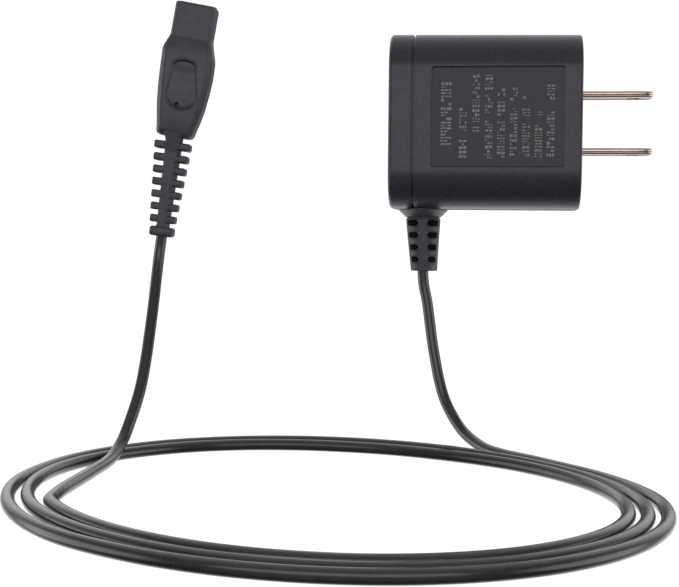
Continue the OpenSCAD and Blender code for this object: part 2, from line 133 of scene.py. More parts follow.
def soft_box(low, high, r, steps=3):
    """A box with rounded edges, as (verts, faces)."""
    low, high = np.array(low, float), np.array(high, float)
    tool = bmesh.new()
    bmesh.ops.create_cube(tool, size=1.0)
    for v in tool.verts:
        v.co = Vector((low + high) / 2 + np.array(v.co) * (high - low))
    bmesh.ops.bevel(tool, geom=list(tool.edges), offset=r, segments=steps,
                    profile=0.5, affect="EDGES")
    tool.verts.index_update()
    result = ([tuple(v.co) for v in tool.verts],
              [[v.index for v in f.verts] for f in tool.faces])
    tool.free()
    return result


def smooth(x, a, b):
    """0 below a, 1 above b, with an even start and stop between."""
    t = np.clip((x - a) / (b - a), 0.0, 1.0)
    return t * t * (3 - 2 * t)


def line(x, xs, ys):
    """Straight-line interpolation, held at both ends."""
    return float(np.interp(x, xs, ys))


def cut(obj, cutter):
    """Boolean difference, applied."""
    mod = obj.modifiers.new("cut", "BOOLEAN")
    mod.operation, mod.solver, mod.object = "DIFFERENCE", "EXACT", cutter
    graph = bpy.context.evaluated_depsgraph_get()
    mesh = bpy.data.meshes.new_from_object(obj.evaluated_get(graph))
    obj.modifiers.clear()
    obj.data = mesh
    bpy.data.objects.remove(cutter)
    mesh.set_sharp_from_angle(angle=math.radians(SHARP_DEG))


def rod(centre, axis, r, h, sides=32):
    """A closed cylinder about centre, as (verts, faces)."""
    axis = np.array(axis, float) / np.linalg.norm(axis)
    side = np.cross(axis, [0.3, 1, 0.2])
    side /= np.linalg.norm(side)
    other = np.cross(axis, side)
    rings = [
        [np.array(centre) + axis * e * h / 2
         + r * (math.cos(a) * side + math.sin(a) * other)
         for a in np.linspace(0, 2 * math.pi, sides, endpoint=False)]
        for e in (-1, 1)
    ]
    return loft(rings)


# ---------- camera ----------

PITCH, ROLL, TURN = 2.60455, 0.5, 6.5
LENS, SENSOR = 69.35, 36.0
eye = np.array([-19.86, -302.25, -25.41])
pitch, roll = math.radians(PITCH), math.radians(ROLL)
forward = turn_z(TURN) @ np.array([0, math.cos(pitch), -math.sin(pitch)])
right = turn_z(TURN) @ np.array([1.0, 0, 0])
up = np.cross(right, forward)
right, up = (right * math.cos(roll) + up * math.sin(roll),
             up * math.cos(roll) - right * math.sin(roll))
camera_data = bpy.data.cameras.new("camera")
camera_data.lens, camera_data.sensor_width = LENS, SENSOR
camera_data.clip_start, camera_data.clip_end = 0.01, 20.0
camera = bpy.data.objects.new("camera", camera_data)
camera.matrix_world = Matrix([
    [right[0], up[0], -forward[0], eye[0] * MM],
    [right[1], up[1], -forward[1], eye[1] * MM],
    [right[2], up[2], -forward[2], eye[2] * MM],
    [0, 0, 0, 1],
])
scene.collection.objects.link(camera)
scene.camera = camera


# ---------- cord ----------

def spline(points, step=1.0, fine_steps=24):
    """A centripetal Catmull-Rom line through the points, at even steps, and its length."""
    pts = np.array(points, float)
    ends = np.vstack([2 * pts[0] - pts[1], pts, 2 * pts[-1] - pts[-2]])
    fine = []
    for i in range(1, len(ends) - 2):
        p0, p1, p2, p3 = ends[i - 1:i + 3]
        t0 = 0.0
        t1 = t0 + np.linalg.norm(p1 - p0) ** 0.5
        t2 = t1 + np.linalg.norm(p2 - p1) ** 0.5
        t3 = t2 + np.linalg.norm(p3 - p2) ** 0.5
        for t in np.linspace(t1, t2, fine_steps, endpoint=False):
            a1 = (t1 - t) / (t1 - t0) * p0 + (t - t0) / (t1 - t0) * p1
            a2 = (t2 - t) / (t2 - t1) * p1 + (t - t1) / (t2 - t1) * p2
            a3 = (t3 - t) / (t3 - t2) * p2 + (t - t2) / (t3 - t2) * p3
            b1 = (t2 - t) / (t2 - t0) * a1 + (t - t0) / (t2 - t0) * a2
            b2 = (t3 - t) / (t3 - t1) * a2 + (t - t1) / (t3 - t1) * a3
            fine.append((t2 - t) / (t2 - t1) * b1 + (t - t1) / (t2 - t1) * b2)
    fine = np.array(fine + [pts[-1]])
    run = np.concatenate([[0], np.cumsum(np.linalg.norm(np.diff(fine, axis=0), axis=1))])
    at = np.linspace(0, run[-1], int(run[-1] / step) + 1)
    return np.stack([np.interp(at, run, fine[:, k]) for k in range(3)], 1), run[-1]


COIL_AT, COIL_R, COIL_PITCH = (-48.9, -68.2), 54.5, 3.3
COIL_OVAL, COIL_PHASE, COIL_MID = 4.0, 6.5, 646.5
COIL_START, COIL_END, COIL_POINTS = 198.5, 1116.5, 77
COIL_Z = FLOOR_Z + CORD_R
# How far the turns stray from the even spiral, by angle
COIL_DRIFT = [
    (200, 0), (240, -0.3), (275, -1.1), (300, -1), (340, 0), (380, 0.3), (400, 0.3),
    (430, -1), (455, -1.2), (485, 0.5), (505, 1), (525, 0.8), (545, 0.2), (600, 0.2),
    (660, 0), (720, 0), (750, -0.2), (790, 0.8), (850, 1.7), (868, 1.2), (884, 0.2),
    (910, 0.3), (925, 0.7), (945, 1.4), (960, 1), (1000, 0.3), (1050, 0), (1080, 0.1),
    (1095, -0.6), (1105, -0.9), (1116, -1),
]


def coil_point(a):
    """A point of the lying coil, at an angle that runs on from turn to turn."""
    r = COIL_R + COIL_PITCH * (a - COIL_MID) / 360
    r -= COIL_OVAL * math.sin(math.radians(2 * (a - COIL_PHASE)))
    r += line(a, *zip(*COIL_DRIFT))
    return (COIL_AT[0] + r * math.cos(math.radians(a)),
            COIL_AT[1] + r * math.sin(math.radians(a)), COIL_Z)


tail_end = CONN_AT + TAIL @ np.array([0, 0, -TAIL_LEN])
tail_next = CONN_AT + TAIL @ np.array([0, 0, -TAIL_LEN - 4])
adapter_route = [
    (RELIEF_X, 0, RELIEF_END_Z), (-34.7, 0, -37), (-33.9, -0.3, -40.8), (-33.2, -0.8, -45.5),
    (-32.5, -1.6, -50.2), (-31.7, -2.3, -54.5), (-30.8, -3.2, -58.6), (-29.4, -4.5, -63),
    (-27.1, -6.8, -67), (-25, -9.8, -69.4), (-22.7, -13.2, -70.9), (-20, -17.3, -71.9),
    (-16.9, -21.3, COIL_Z), (-12.8, -26.4, COIL_Z), (-8.8, -31.1, COIL_Z),
]
connector_route = [
    tuple(tail_end), tuple(tail_next), (-94.7, -12.6, -36.2), (-94.6, -14.9, -40.6),
    (-94.5, -18.6, -47.1), (-94.4, -22.6, -53.4), (-94.5, -27, -59.5), (-95.2, -31.4, -65),
    (-95.9, -34.4, -68.6), (-96.2, -37, -70.2), (-96.3, -39.6, -71.2), (-96.4, -42.7, -71.9),
    (-96.5, -47.8, COIL_Z), (-96.4, -54.7, COIL_Z), (-96.3, -60.7, COIL_Z),
    (-96.3, -66.5, COIL_Z), (-96.3, -71.6, COIL_Z), (-96.1, -76.3, COIL_Z),
    (-95.7, -80.4, COIL_Z),
]
turns = [coil_point(a) for a in np.linspace(COIL_END, COIL_START, COIL_POINTS)]
path, cord_length = spline(adapter_route + turns + connector_route[::-1])
print("cord length", round(cord_length, 1), "mm")


def tube(points, radius, sides=20):
    """A round tube along the points, with no twist from ring to ring."""
    tangent = np.gradient(points, axis=0)
    tangent /= np.linalg.norm(tangent, axis=1)[:, None]
    side = np.cross(tangent[0], [0.0, 1.0, 0.0])
    rings = []
    for c, t in zip(points, tangent):
        side = side - t * np.dot(side, t)
        side /= np.linalg.norm(side)
        other = np.cross(t, side)
        rings.append([
            c + radius * (math.cos(a) * side + math.sin(a) * other)
            for a in np.linspace(0, 2 * math.pi, sides, endpoint=False)
        ])
    return loft(rings)


cord = make("charging_cord", *tube(path, CORD_R), sharp=60)


# ---------- adapter: housing and cap ----------

# Heights up the front and angles round the edges, closest where the surface turns most
FRONT_Z = np.unique(np.round(np.concatenate([
    np.arange(-11.1, -9.75, 0.09), np.arange(-9.6, 10.3, 1.4), np.arange(10.3, 10.72, 0.14),
]), 3))
ARC = np.radians(np.concatenate([np.arange(0.6, 10.1, 0.6), np.arange(13, 91, 4.05)]))
ARC_BACK = np.radians(np.linspace(0, 90, 15))


def top_at(x):
    """Height of the adapter's top at x."""
    return TOP_PLUG + (TOP_CAP - TOP_PLUG) * min(1.0, -x / LEN)


def panel_mask(x, z):
    """1 inside the label recess, 0 outside, with softened walls."""
    cx, cz = (PANEL_X0 + PANEL_X1) / 2, (PANEL_Z0 + PANEL_Z1) / 2
    hx, hz, r = (PANEL_X1 - PANEL_X0) / 2, (PANEL_Z1 - PANEL_Z0) / 2, PANEL_CORNER_R
    dx, dz = abs(x - cx) - hx + r, abs(z - cz) - hz + r
    d = math.hypot(max(dx, 0), max(dz, 0)) + min(max(dx, dz), 0) - r
    return 1 - float(smooth(d, -PANEL_WALL, PANEL_WALL))


def adapter_ring(x, inset=0.0, panel=False):
    """The adapter's section at x, drawn in by inset, with the label recess if asked for."""
    top, bottom = top_at(x) - inset, BOTTOM + inset
    y, r = HALF_D - inset, EDGE_R - inset
    ring = [(-y, z) for z in FRONT_Z]
    ring += [(-(y - r) - r * math.cos(a), top - r + r * math.sin(a)) for a in ARC]
    ring += [(yy, top) for yy in (-2.4, 0, 2.4)]
    ring += [(y - r + r * math.sin(a), top - r + r * math.cos(a)) for a in ARC_BACK]
    ring += [(y, z) for z in (6, 0, -6)]
    ring += [(y - r + r * math.cos(a), bottom + r - r * math.sin(a)) for a in ARC_BACK]
    ring += [(yy, bottom) for yy in (2.4, 0, -2.4)]
    ring += [(-(y - r) - r * math.sin(a), bottom + r - r * math.cos(a))
             for a in (math.pi / 2 - ARC)[::-1]]
    if panel:
        ring = [(yy + PANEL_DEPTH * panel_mask(x, z) if yy < 0 else yy, z) for yy, z in ring]
    return [(x, yy, z) for yy, z in ring]


def shell_rings():
    """From the seam's floor over its lip, along the label, to the rounded plug face."""
    lip = SEAM_X + GROOVE
    rings = [adapter_ring(x, inset) for x, inset in (
        (SEAM_X + 0.02, GROOVE_DEPTH), (lip - 0.02, GROOVE_DEPTH),
        (lip, 0.10), (lip + 0.04, 0.03), (lip + 0.12, 0.0))]
    xs = np.concatenate([
        [-35.5, -34.2], np.arange(-33.6, -32.1, 0.1), np.arange(-31, -5, 1.6),
        np.arange(-4.7, -3.2, 0.1), [-2.4, -1.4, -0.8],
    ])
    rings += [adapter_ring(float(x), 0.0, True) for x in xs]
    r = PLUG_EDGE_R
    for a in np.radians(np.linspace(0, 90, 7)):
        rings.append(adapter_ring(-r + r * math.sin(a), r * (1 - math.cos(a))))
    return rings


housing = make("housing_outer", *loft(shell_rings()), sharp=50)


def cap_rings():
    """From the cap's rounded end to its edge at the seam."""
    r = CAP_EDGE_R
    rings = [adapter_ring(-LEN + r * (1 - math.cos(a)), r * (1 - math.sin(a)))
             for a in np.radians(np.linspace(0, 90, 9))]
    rings += [adapter_ring(x) for x in (-40, -38.4, SEAM_X - 0.15)]
    rings += [adapter_ring(SEAM_X - 0.05, 0.05), adapter_ring(SEAM_X, 0.14)]
    return rings


cap = make("end_cap_outer", *loft(cap_rings()), sharp=50)

# Raised marks in the label recess: plain blocks in columns, not letters.
# Each column has its place, its width, and the top and bottom of each run of blocks.
COLUMNS = [
    (-29.6, 2.5, [(8.0, -6.4)]), (-25.9, 1.8, [(2.4, -3.2), (-4.6, -8.8)]),
    (-23.1, 1.7, [(9.6, -3.2)]), (-20.3, 1.8, [(9.6, 1.0), (-0.4, -8.8)]),
    (-17.6, 1.8, [(6.6, 0.6), (-0.6, -8.8)]), (-14.9, 1.8, [(6.8, 3.4), (2.4, -8.8)]),
    (-12.2, 1.8, [(5.0, 3.8), (2.2, 0.2), (-1.0, -8.8)]),
    (-9.5, 1.8, [(1.6, 0.0), (-1.4, -8.8)]), (-6.9, 1.8, [(7.4, 3.6), (1.6, -8.8)]),
]
MARK_LENGTHS, MARK_GAP, MARK_SKIP = [0.32, 0.45, 0.7], 0.24, 0.22


def label_marks():
    """Short blocks in two or three lanes a column, some left out at random."""
    rng = np.random.default_rng(7)
    parts = []
    for x, w, spans in COLUMNS:
        for high, low in spans:
            z = high
            while z - low > 0.5:
                length = min(float(rng.choice(MARK_LENGTHS)), z - low)
                lanes = rng.choice([2, 3])
                for lane in range(lanes):
                    lane_w = w / lanes
                    if rng.random() < MARK_SKIP:
                        continue
                    x0 = x - w / 2 + lane * lane_w + 0.06
                    parts.append(soft_box(
                        (x0, -HALF_D + 0.03, z - length),
                        (x0 + lane_w - 0.14, -HALF_D + 0.5, z), 0.07, 2))
                z -= length + MARK_GAP
    return join_parts(parts)


marks = make("label_marks", *label_marks(), sharp=60)


# ---------- plug blades ----------

BLADE_EDGE_R = 0.5
FOLD_Z, FOLD_HALF, FOLD_DEPTH = -0.08, 0.12, 0.3


def blade(name, z0):
    """A flat strip with a fine fold line along both edges, a rounded tip and a hole."""
    half_w, half_t, r = BLADE_HALF_W, BLADE_HALF_T, BLADE_EDGE_R
    profile = []
    for sy, sz, a0 in ((1, -1, -90), (1, 1, 0), (-1, 1, 90), (-1, -1, 180)):
        for a in np.radians(np.linspace(a0, a0 + 90, 5)):
            profile.append((sy * (half_w - r) + r * math.cos(a),
                            sz * (half_t - r) + r * math.sin(a)))
        if sy != sz:
            profile += [(sy * half_w, FOLD_Z - sy * FOLD_HALF),
                        (sy * (half_w - FOLD_DEPTH), FOLD_Z),
                        (sy * half_w, FOLD_Z + sy * FOLD_HALF)]
    rings = []
    for x, w, t in ((-1.5, 1, 1), (2, 1, 1), (8, 1, 1), (14.2, 1, 1), (14.9, 0.94, 1),
                    (15.7, 0.80, 0.97), (16.0, 0.72, 0.86), (16.2, 0.66, 0.6)):
        rings.append([(x, y * w, z0 + z * t) for y, z in profile])
    obj = make(name, *loft(rings), sharp=45)
    cutter = make("hole", *rod((BLADE_HOLE_X, 0, z0), (0, 0, 1), BLADE_HOLE_R, 6, 40))
    cut(obj, cutter)
    return obj


blade_up = blade("plug_blade_upper", BLADE_Z)
blade_down = blade("plug_blade_lower", -BLADE_Z)


# ---------- strain relief on the adapter ----------

COLLAR_X, COLLAR_Y = 1.7, 3.1  # how far the collar spreads beyond the neck
SLOTS_Z = [-22.72, -25.5, -28.28, -31.06]
SLOT_END_X, SLOT_HALF, SLOT_FLOOR, SLOT_WEB = 1.66, 0.58, 1.55, 0.9


def underside(y):
    """Height of the housing's lower surface at depth y."""
    over = max(0.0, abs(y) - (HALF_D - EDGE_R))
    return BOTTOM + EDGE_R - math.sqrt(EDGE_R ** 2 - over ** 2)


def cone_radius(z):
    """Radius of the relief's cone at height z."""
    return NECK_R + (RELIEF_END_R - NECK_R) * (NECK_Z - z) / (NECK_Z - RELIEF_END_Z)


def cone_axis(z):
    """x of the relief's axis at height z: it leans a little toward the blades."""
    down = max(0.0, (NECK_Z - z) / (NECK_Z - RELIEF_END_Z))
    return RELIEF_X + RELIEF_LEAN * down ** 1.5


def collar_rings(angles):
    """A thin gap under the housing, then a collar that draws in to the neck."""
    gap = [(0, 0.5), (0.09, 0.5), (0.1, 0)]
    rings = []
    for t, inset in gap + [(t, 0) for t in np.linspace(0.15, 1, 9)]:
        flare = 1 - max(t - 0.1, 0) / 0.9
        rx = NECK_R + COLLAR_X * flare - inset
        ry = NECK_R + COLLAR_Y * flare - inset
        ring = []
        for a in angles:
            y = ry * math.sin(a)
            z_top = underside(y) + 0.02
            ring.append((rx * math.cos(a), y, z_top + (NECK_Z - z_top) * t))
        rings.append(ring)
    return rings


def slotted(x, y, z, r):
    """A point of the cone's surface, sunk if it is in a slot, raised on the slot's lip.

    The slots have round inner ends, and stop at a web along each side."""
    if abs(y) <= SLOT_WEB:
        return x, y
    dx, dz = abs(x) - SLOT_END_X, min(abs(z - slot_z) for slot_z in SLOTS_Z)
    d = (math.hypot(dx, dz) if dx < 0 else dz) - SLOT_HALF
    mask = 1 - float(smooth(d, -0.08, 0.08))
    lip = 0.14 * math.exp(-((d - 0.24) / 0.15) ** 2)
    floor = math.copysign(min(abs(y), SLOT_FLOOR), y)
    y = y * (1 - mask) + floor * mask
    return x * (1 + lip / r), y * (1 + lip / r)


def relief_mesh():
    """Collar, a shallow groove under it, and the cone with slots at front and back."""
    angles = np.linspace(0, 2 * math.pi, 168, endpoint=False)
    rings = collar_rings(angles)
    rows = np.concatenate([NECK_Z - np.array([0.06, 0.2, 0.32, 0.42]),
                           np.arange(NECK_Z - 0.5, RELIEF_END_Z + 0.25, -0.1)])
    for z in rows:
        r = cone_radius(z) - line(NECK_Z - z, [0.2, 0.5], [0.26, 0.0])
        rings.append([(*slotted(r * math.cos(a), r * math.sin(a), z, r), z) for a in angles])
    last = rings[-1]
    for scale, z_end in ((0.985, RELIEF_END_Z + 0.08), (0.95, RELIEF_END_Z), (0.5, RELIEF_END_Z)):
        rings.append([(x * scale, y * scale, z_end) for x, y, _ in last])
    verts, faces = loft(rings)
    return [(x + cone_axis(z), y, z) for x, y, z in verts], faces


relief = make("adapter_strain_relief_outer", *relief_mesh(), sharp=60)


# ---------- connector ----------

# The body's half widths to the left and right and its half depth, by distance from its root
BODY_W = [0, 2, 4, 7, 11, 14.6, 17.9, 19.1, 20.2, 22.2]
BODY_L = [4.15, 4.28, 4.6, 5.1, 5.5, 5.72, 5.86, 5.9, 5.62, 4.85]
BODY_R = [4.05, 4.35, 4.85, 5.4, 5.8, 5.98, 5.85, 5.6, 5.25, 4.7]
BODY_D = [3.1, 3.45, 3.7, 3.9, 4.0, 4.0, 3.98, 3.9, 3.72, 3.2]


def bevel_ring(to_left, to_right, half_d, bevel, r, front=61):
    """Section across the connector: flat faces, bevels and softened corners.

    The front face has that many points of its own, for the relief modelled on it."""
    corners = [
        (to_right - bevel, -half_d), (to_right, -half_d + bevel), (to_right, half_d - bevel),
        (to_right - bevel, half_d), (-to_left + bevel, half_d), (-to_left, half_d - bevel),
        (-to_left, -half_d + bevel), (-to_left + bevel, -half_d),
    ]
    ring = []
    n = len(corners)
    for i, c in enumerate(corners):
        before, after = np.array(corners[i - 1]), np.array(corners[(i + 1) % n])
        c = np.array(c)
        a = (before - c) / np.linalg.norm(before - c)
        b = (after - c) / np.linalg.norm(after - c)
        for t in np.linspace(0, 1, 7):
            ring.append(tuple((1 - t) ** 2 * (c + a * r) + 2 * t * (1 - t) * c
                              + t * t * (c + b * r)))
        if i == n - 1:
            start, stop = c + b * r, np.array(corners[0]) - b * r
            for t in np.linspace(0, 1, front + 2)[1:-1]:
                ring.append(tuple(start + (stop - start) * t))
    return ring


RECESS_LOW, RECESS_HIGH = np.array([0.3, 9.45]), np.array([-0.1, 14.3])
RECESS_R, RECESS_TAPER = 3.5, 0.8
GATE_S, GATE_W = -0.5, 7.0


def crest(d, at, width):
    """A soft ridge of height 1, where d equals at."""
    return math.exp(-((d - at) / width) ** 2)


def recess(s, w):
    """Depth of the thumb recess and the gate mark at a point of the front face."""
    t = min(max((w - RECESS_LOW[1]) / (RECESS_HIGH[1] - RECESS_LOW[1]), 0), 1)
    centre = RECESS_LOW + (RECESS_HIGH - RECESS_LOW) * t
    v = np.array([s, w]) - centre
    power = 2.8 if t >= 1 else 2.1
    d = (abs(v[0]) ** power + abs(v[1]) ** power) ** (1 / power) - (RECESS_R - RECESS_TAPER * t)
    top, bottom = float(smooth(w, 14.0, 16.2)), 1 - float(smooth(w, 6.5, 10))
    soft = 1 - max(top, bottom)
    wall = 1 - float(smooth(d, -0.24 - 0.16 * soft, 0.12 + 0.06 * soft))
    depth = (0.24 + 0.36 * top + 0.08 * bottom) * wall
    ridge = 0.2 * bottom * crest(d, -0.62, 0.2)
    trough = (0.06 + 0.1 * bottom) * crest(d, -0.05, 0.18)
    rim = 0.13 * top * crest(d, 0.34, 0.2)
    hole = math.hypot(s - GATE_S, w - GATE_W)
    gate = 0.9 * (1 - float(smooth(hole, 0.36, 0.5)))
    lip = 0.1 * crest(hole, 0.66, 0.15)
    return depth - ridge + trough - rim + gate - lip


def connector_body_mesh():
    """The overmould, from its rounded root to its top, with the recess in its front."""
    rows = np.unique(np.round(np.concatenate([
        np.arange(0.9, 5.2, 0.5), np.arange(5.2, 8.4, 0.11), np.arange(8.4, 16.2, 0.4),
        np.arange(16.2, 18.4, 0.11), np.arange(18.4, 22.3, 0.25), [22.35],
    ]), 3))
    rings = []
    r = 0.85
    for a in np.radians(np.linspace(0, 80, 6)):
        inset = r * (1 - math.sin(a))
        rings.append([(s, y, r * (1 - math.cos(a))) for s, y in bevel_ring(
            BODY_L[0] - inset, BODY_R[0] - inset, BODY_D[0] - inset, 0.9, 0.3)])
    for w in rows:
        half_d = line(w, BODY_W, BODY_D)
        bevel = line(w, [0, 8, 18, 22.3], [0.9, 1.15, 1.1, 0.7])
        ring = bevel_ring(line(w, BODY_W, BODY_L), line(w, BODY_W, BODY_R), half_d, bevel, 0.38)
        rings.append([(s, y + (recess(s, w) if y < 0.06 - half_d else 0), w)
                      for s, y in ring])
    return loft(rings)


def nose_ring(w, inset=0.0):
    """Section across the nose, drawn in by inset."""
    bevel = 0.7 - 0.25 * inset
    ring = bevel_ring(4.75 - inset, 4.6 - inset, 3.1 - inset, bevel, 0.28, 3)
    return [(s, y, w) for s, y in ring]


def nose_mesh():
    """The slimmer nose, from inside the body to its rounded top."""
    rings = [[(s, y, 21.9) for s, y in bevel_ring(4.72, 4.62, 3.08, 0.7, 0.28, 3)]]
    rings += [nose_ring(w) for w in (22.6, 25, 29.1)]
    r = 0.6
    for a in np.radians(np.linspace(0, 90, 7)):
        rings.append(nose_ring(CONN_TOP - r + r * math.sin(a), r * (1 - math.cos(a))))
    return loft(rings)


body = make("connector_shell", *connector_body_mesh(), place=(CONN, CONN_AT), sharp=60)
nose = make("connector_tip", *nose_mesh(), place=(CONN, CONN_AT), sharp=40)
for s in (-SOCKET_X, SOCKET_X):
    cut(nose, make("hole", *rod((s, 0, CONN_TOP - 1.6), (0, 0, 1), SOCKET_R, 9),
                   place=(CONN, CONN_AT)))

TABS, TAB_TOP, TAB_PITCH = 7, -2.05, 2.78
SPINE_FALL = 21.0  # the length over which the spine and the core taper


def tail_mesh():
    """Pairs of tabs, an end flange, a tapering spine and the core inside them."""
    parts = []
    for i in range(TABS):
        mid = TAB_TOP - TAB_PITCH * i
        half_w = 4.1 - 0.19 * i
        half_d = 2.55 - 0.08 * i
        # the left tab is about flush with the spine's front, the right one a step behind
        parts.append(soft_box((-half_w - 0.05, -half_d, mid - 0.86),
                              (0.4, half_d, mid + 0.86), 0.4, 4))
        parts.append(soft_box((-0.4, -half_d + 0.34, mid - 0.9),
                              (half_w - 0.15, half_d, mid + 0.84), 0.44, 4))
    parts.append(soft_box((-2.72, -2.4, -22.68), (2.68, 2.4, -20.5), 0.6, 4))
    # spine: tapers, swells a little at each tab, and rises into the body at its root
    rings = []
    for w in np.linspace(2.0, -20.9, 93):
        t = min(max(-w / SPINE_FALL, 0), 1)
        swell = 0.22 * math.cos(2 * math.pi * (min(w, -0.7) - TAB_TOP) / TAB_PITCH) + 0.12
        half = (1.62 - 0.52 * t + swell + 0.6 * float(smooth(w, -1.2, 0.9))
                + 0.35 * (1 - float(smooth(w, -20.9, -19.6))))
        d = 2.6 - 0.58 * t + line(w, [-3.5, 0.2, 0.9, 2], [0, 0.52, 0.64, 0.68])
        rings.append([(s - 0.15, y, w) for s, y in bevel_ring(half, half - 0.15, d, 0.3, 0.14, 3)])
    parts.append(loft(rings))
    rings = []
    for w in np.linspace(0.5, -22.0, 12):
        r = 2.0 - 0.5 * min(max(-w / SPINE_FALL, 0), 1)
        rings.append([(r * math.cos(a), r * math.sin(a), w)
                      for a in np.linspace(0, 2 * math.pi, 32, endpoint=False)])
    parts.append(loft(rings))
    return join_parts(parts)


tail = make("connector_strain_relief_outer", *tail_mesh(), place=(TAIL, CONN_AT), sharp=50)


# ---------- materials ----------

def noise(nodes, links, coords, scale, detail=3.0, roughness=0.55):
    """Procedural noise at the given coordinates."""
    n = nodes.new("ShaderNodeTexNoise")
    n.inputs["Scale"].default_value = scale
    n.inputs["Detail"].default_value = detail
    n.inputs["Roughness"].default_value = roughness
    links.new(coords, n.inputs["Vector"])
    return n.outputs["Fac"]


def spread(nodes, links, value, low, high):
    """Noise remapped to run from low to high."""
    m = nodes.new("ShaderNodeMapRange")
    m.inputs["From Min"].default_value, m.inputs["From Max"].default_value = 0.3, 0.7
    m.inputs["To Min"].default_value, m.inputs["To Max"].default_value = low, high
    links.new(value, m.inputs["Value"])
    return m.outputs["Result"]


def ramp(nodes, links, value, stops):
    """A colour ramp through the (position, colour) stops."""
    r = nodes.new("ShaderNodeValToRGB")
    elements = r.color_ramp.elements
    while len(elements) < len(stops):
        elements.new(0.5)
    for e, (at, colour) in zip(elements, stops):
        e.position, e.color = at, (*colour, 1)
    links.new(value, r.inputs["Fac"])
    return r.outputs["Color"]


def finish(name, dark, light, rough, grain=4000, bump=0.02, metallic=0.0, mottle=600,
           ior=1.45, stretch=None):
    """A moulded or drawn surface: two close tones, uneven roughness, fine grain.

    Scales are per metre, and bump is the grain's height in millimetres."""
    mat = bpy.data.materials.new(name)
    mat.use_nodes = True
    nodes, links = mat.node_tree.nodes, mat.node_tree.links
    shader = nodes["Principled BSDF"]
    coord = nodes.new("ShaderNodeTexCoord").outputs["Object"]
    if stretch is not None:
        m = nodes.new("ShaderNodeMapping")
        m.inputs["Scale"].default_value = stretch
        links.new(coord, m.inputs["Vector"])
        coord = m.outputs["Vector"]
    tone = noise(nodes, links, coord, mottle)
    links.new(ramp(nodes, links, tone, [(0.32, dark), (0.68, light)]),
              shader.inputs["Base Color"])
    fine = noise(nodes, links, coord, grain, 4.0)
    links.new(spread(nodes, links, fine, rough - 0.05, rough + 0.06), shader.inputs["Roughness"])
    shader.inputs["Metallic"].default_value = metallic
    shader.inputs["IOR"].default_value = ior
    b = nodes.new("ShaderNodeBump")
    b.inputs["Strength"].default_value = 1.0
    b.inputs["Distance"].default_value = bump * MM
    links.new(fine, b.inputs["Height"])
    links.new(b.outputs["Normal"], shader.inputs["Normal"])
    return mat


LOOKS = {
    "housing": finish("housing_black", (0.022, 0.019, 0.027), (0.034, 0.030, 0.041),
                      0.30, 2600, 0.035, mottle=1400),
    "panel": finish("label_black", (0.013, 0.011, 0.016), (0.019, 0.017, 0.023),
                    0.24, 2600, 0.003, ior=1.38),
    # The marks are moulded in the housing's black. Their lighter grey is a painted highlight
    # standing in for the glints on their edges.
    "marks": finish("raised_marks_painted_highlight", (0.10, 0.10, 0.105), (0.26, 0.26, 0.265),
                    0.35, 2500, 0.01, mottle=1500),
    "relief": finish("relief_black", (0.046, 0.042, 0.052), (0.066, 0.061, 0.073),
                     0.42, 2600, 0.012),
    # Painted shade: a darker black with almost no gloss, given to the slot faces so the slots read
    # dark.
    "slot": finish("relief_slot_painted_shade", (0.008, 0.008, 0.009), (0.015, 0.014, 0.017),
                   0.6, 2600, 0.01, ior=1.15),
    "cord": finish("cord_pvc", (0.014, 0.013, 0.016), (0.021, 0.020, 0.023),
                   0.20, 2400, 0.005, ior=1.55),
    "connector": finish("connector_grey", (0.040, 0.036, 0.047), (0.054, 0.049, 0.062),
                        0.38, 3000, 0.014),
    "blade": finish("blade_nickel", (0.50, 0.41, 0.36), (0.60, 0.50, 0.45),
                    0.26, 900, 0.002, metallic=1.0, mottle=500, stretch=(0.06, 1, 1)),
}


def dress(obj, mat):
    """Gives a piece its main material."""
    obj.data.materials.clear()
    obj.data.materials.append(mat)


for obj, key, slot, node in (
    (housing, "housing", "housing_black", "housing_shell"),
    (cap, "housing", "housing_black", "end_cap"),
    (marks, "marks", "housing_black", None),
    (blade_up, "blade", "blade_nickel", "blade_upper"),
    (blade_down, "blade", "blade_nickel", "blade_lower"),
    (relief, "relief", "relief_black", "adapter_strain_relief"),
    (body, "connector", "connector_grey", "connector_body"),
    (nose, "connector", "connector_grey", "connector_nose"),
    (tail, "connector", "connector_grey", "connector_strain_relief"),
):
    dress(obj, LOOKS[key])
    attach(obj, "root")
    if node:
        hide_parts(node)
# The label's own surface, smoother than the grained housing round it
housing.data.materials.append(LOOKS["panel"])
for face in housing.data.polygons:
    x, y, z = face.center / MM
    if panel_mask(x, z) > 0.9 and y < -HALF_D + 0.3:
        face.material_index = 1
# The relief's slots: faces between its ends that lie well inside the cone take a darker black,
# painted shade in the slots
relief.data.materials.append(LOOKS["slot"])
for face in relief.data.polygons:
    x, y, z = face.center / MM
    inside = math.hypot(x - cone_axis(z), y) < cone_radius(z) - 0.15
    if inside and RELIEF_END_Z + 0.5 < z < NECK_Z - 0.6:
        face.material_index = 1
dress(cord, LOOKS["cord"])
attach(cord, "root")
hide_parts("cord_drop_adapter", "cord_coil", "cord_drop_connector")

